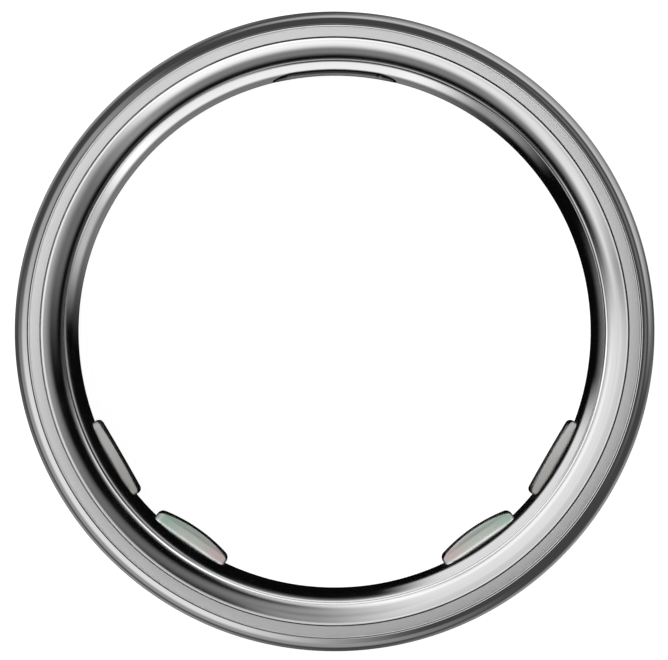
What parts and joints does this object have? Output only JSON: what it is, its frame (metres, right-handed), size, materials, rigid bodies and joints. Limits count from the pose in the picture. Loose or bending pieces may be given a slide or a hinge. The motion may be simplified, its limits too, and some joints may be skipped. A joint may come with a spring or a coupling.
{
  "type": "smart ring",
  "caption": "Sealed metal smart ring with a comfort-fit bore, clear sensor lenses and a flush charging window inside.",
  "frame": {"origin": "on the ring's axis, in the plane of the rear face that it rests on", "axes": "+Z along the ring's axis from the rear face to the front face, +Y towards the top of the band (the charging window), -Y towards the sensor side, +X to the right as seen from the front"},
  "size_m": [0.0246, 0.0246, 0.007],
  "materials": {
    "polished_metal": "mirror-polished titanium",
    "satin_metal": "fine blasted titanium",
    "adhesive": "cured black adhesive",
    "seal_black": "satin black bonding bead",
    "lens_clear": "clear moulded resin",
    "window_grey": "smooth dark resin",
    "shield_black": "matt black",
    "green_light": "clear encapsulated chip",
    "red_light": "clear encapsulated chip",
    "infrared_light": "clear encapsulated chip",
    "photodiode_glass": "coated silicon under clear resin",
    "sensor_white": "glazed",
    "thermal_pad": "soft matt",
    "circuit_film": "polyimide film",
    "component_metal": "bright nickel",
    "chip_black": "moulded package",
    "inductor_grey": "moulded ferrite",
    "capacitor_tan": "fired",
    "antenna_white": "fired",
    "copper": "enamelled copper",
    "ferrite": "matt sheet",
    "battery_foil": "satin laminate foil",
    "board_green": "solder mask",
    "insulating_film": "polyimide film",
    "resin": "cured potting resin"
  },
  "bodies": {
    "root": {"outer_shell": "polished_metal", "front_side_ring": "satin_metal", "rear_side_ring": "satin_metal", "inner_liner": "polished_metal", "front_sealing_bead": "adhesive", "rear_sealing_bead": "adhesive", "upper_left_lens": "lens_clear", "upper_right_lens": "lens_clear", "lower_left_lens": "lens_clear", "lower_right_lens": "lens_clear", "upper_left_lens_seal": "seal_black", "upper_right_lens_seal": "seal_black", "lower_left_lens_seal": "seal_black", "lower_right_lens_seal": "seal_black", "charging_window": "window_grey", "charging_window_seal": "seal_black", "upper_left_light_shield": "shield_black", "upper_right_light_shield": "shield_black", "lower_left_light_shield": "shield_black", "lower_right_light_shield": "shield_black", "left_green_light": "green_light", "right_green_light": "green_light", "left_red_light": "red_light", "right_red_light": "red_light", "left_infrared_light": "infrared_light", "right_infrared_light": "infrared_light", "left_photodiode": "photodiode_glass", "right_photodiode": "photodiode_glass", "left_temperature_sensor": "sensor_white", "right_temperature_sensor": "sensor_white", "thermal_pads": "thermal_pad", "flexible_circuit": "circuit_film", "main_processor": "chip_black", "memory_chip": "chip_black", "optical_front_end": "chip_black", "power_manager": "chip_black", "charger_chip": "chip_black", "motion_sensor": "chip_black", "timing_crystal": "component_metal", "power_inductors": "inductor_grey", "capacitors": "capacitor_tan", "bluetooth_antenna": "antenna_white", "charging_coil": "copper", "ferrite_sheet": "ferrite", "battery_cell": "battery_foil", "battery_tabs": "component_metal", "battery_protection_board": "board_green", "battery_insulation": "insulating_film", "potting_resin": "resin"}
  },
  "joints": []
}
